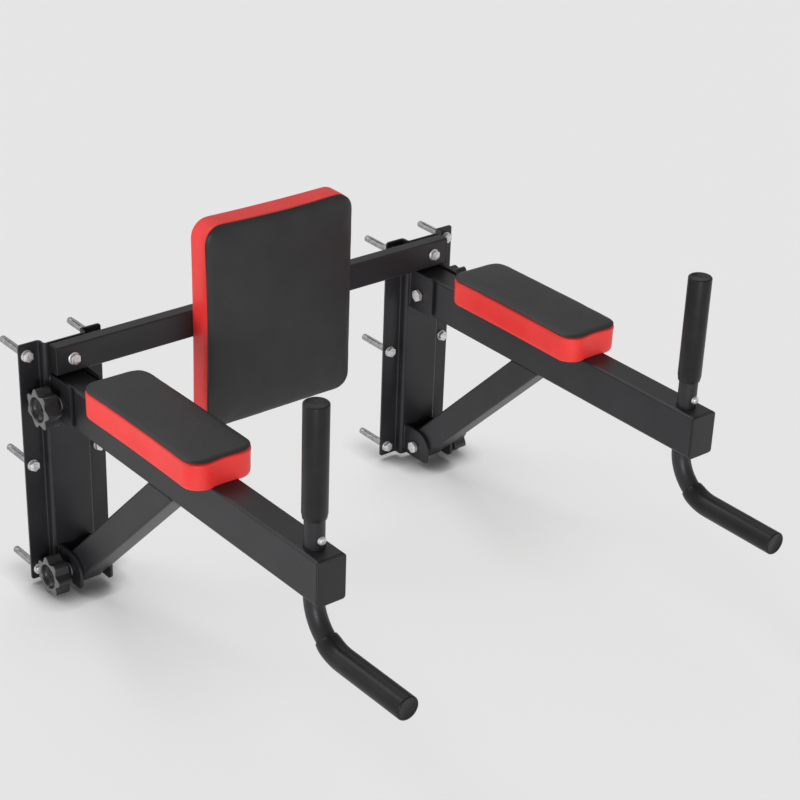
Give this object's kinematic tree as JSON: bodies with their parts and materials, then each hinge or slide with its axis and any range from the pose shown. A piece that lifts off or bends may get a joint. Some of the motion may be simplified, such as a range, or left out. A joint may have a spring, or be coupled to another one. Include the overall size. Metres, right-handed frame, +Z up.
{
  "type": "wall-mounted dip and pull-up station",
  "caption": "Wall-mounted bodyweight station: pressed wall brackets, a crossbar with a back pad, and removable padded arms with upright and bent grips.",
  "frame": {"origin": "on the wall, midway between the two brackets, level with their lower edges", "axes": "+X to the right for someone facing the wall, +Y into the wall, +Z up"},
  "size_m": [0.722, 0.788, 0.4923],
  "materials": {
    "powder_coat": "charcoal powder coat, fine texture",
    "zinc": "bright zinc plate",
    "black_plastic": "moulded, matt",
    "knob_plastic": "moulded, satin",
    "grip_rubber": "foam rubber sleeve, matt",
    "vinyl": "red side band and black top, sewn vinyl",
    "plywood": "raw plywood"
  },
  "bodies": {
    "station": {"bracket_left": "powder_coat", "bracket_right": "powder_coat", "anchor_left_1": "zinc", "anchor_left_2": "zinc", "anchor_left_3": "zinc", "anchor_left_4": "zinc", "anchor_left_5": "zinc", "anchor_left_6": "zinc", "anchor_right_1": "zinc", "anchor_right_2": "zinc", "anchor_right_3": "zinc", "anchor_right_4": "zinc", "anchor_right_5": "zinc", "anchor_right_6": "zinc", "crossbar": "powder_coat", "crossbar_plug_left": "black_plastic", "crossbar_plug_right": "black_plastic", "crossbar_bolt_left": "zinc", "crossbar_bolt_right": "zinc", "crossbar_nut_left": "zinc", "crossbar_nut_right": "zinc", "back_pad": "vinyl", "back_pad_board": "plywood", "back_pad_screw_left": "zinc", "back_pad_screw_right": "zinc", "arm_left": "powder_coat", "arm_right": "powder_coat", "brace_left": "powder_coat", "brace_right": "powder_coat", "arm_plug_left": "black_plastic", "arm_plug_right": "black_plastic", "arm_cushion_left": "vinyl", "arm_cushion_right": "vinyl", "arm_cushion_board_left": "plywood", "arm_cushion_board_right": "plywood", "arm_cushion_screw_left_rear": "zinc", "arm_cushion_screw_left_front": "zinc", "arm_cushion_screw_right_rear": "zinc", "arm_cushion_screw_right_front": "zinc", "handle_tube_left": "powder_coat", "handle_tube_right": "powder_coat", "handle_screw_left": "zinc", "handle_screw_right": "zinc", "upright_grip_left": "grip_rubber", "upright_grip_right": "grip_rubber", "lower_grip_left": "grip_rubber", "lower_grip_right": "grip_rubber", "upper_bolt_left": "zinc", "upper_bolt_right": "zinc", "lower_bolt_left": "zinc", "lower_bolt_right": "zinc"},
    "upper_left_washer": {"upper_washer_left": "zinc"},
    "upper_left_knob": {"upper_knob_left": "knob_plastic"},
    "lower_left_washer": {"lower_washer_left": "zinc"},
    "lower_left_knob": {"lower_knob_left": "knob_plastic"},
    "upper_right_washer": {"upper_washer_right": "zinc"},
    "upper_right_knob": {"upper_knob_right": "knob_plastic"},
    "lower_right_washer": {"lower_washer_right": "zinc"},
    "lower_right_knob": {"lower_knob_right": "knob_plastic"}
  },
  "joints": [
    {"name": "upper_left_knob_travel", "type": "slide", "parent": "station", "child": "upper_left_washer", "axis": [-1, 0, 0], "range_m": [0, 0.012]},
    {"name": "upper_left_knob_turn", "type": "hinge", "parent": "upper_left_washer", "child": "upper_left_knob", "pos_m": [-0.3376, -0.036, 0.2725], "axis": [-1, 0, 0], "range_deg": [0, 2880]},
    {"name": "lower_left_knob_travel", "type": "slide", "parent": "station", "child": "lower_left_washer", "axis": [-1, 0, 0], "range_m": [0, 0.012]},
    {"name": "lower_left_knob_turn", "type": "hinge", "parent": "lower_left_washer", "child": "lower_left_knob", "pos_m": [-0.3376, -0.04, 0.022], "axis": [-1, 0, 0], "range_deg": [0, 2880]},
    {"name": "upper_right_knob_travel", "type": "slide", "parent": "station", "child": "upper_right_washer", "axis": [1, 0, 0], "range_m": [0, 0.012]},
    {"name": "upper_right_knob_turn", "type": "hinge", "parent": "upper_right_washer", "child": "upper_right_knob", "pos_m": [0.3376, -0.036, 0.2725], "axis": [1, 0, 0], "range_deg": [0, 2880]},
    {"name": "lower_right_knob_travel", "type": "slide", "parent": "station", "child": "lower_right_washer", "axis": [1, 0, 0], "range_m": [0, 0.012]},
    {"name": "lower_right_knob_turn", "type": "hinge", "parent": "lower_right_washer", "child": "lower_right_knob", "pos_m": [0.3376, -0.04, 0.022], "axis": [1, 0, 0], "range_deg": [0, 2880]}
  ],
  "couplings": [
    {"joint": "upper_left_knob_travel", "follows": "upper_left_knob_turn", "m_per_rad": 0.0002387},
    {"joint": "lower_left_knob_travel", "follows": "lower_left_knob_turn", "m_per_rad": 0.0002387},
    {"joint": "upper_right_knob_travel", "follows": "upper_right_knob_turn", "m_per_rad": 0.0002387},
    {"joint": "lower_right_knob_travel", "follows": "lower_right_knob_turn", "m_per_rad": 0.0002387}
  ]
}
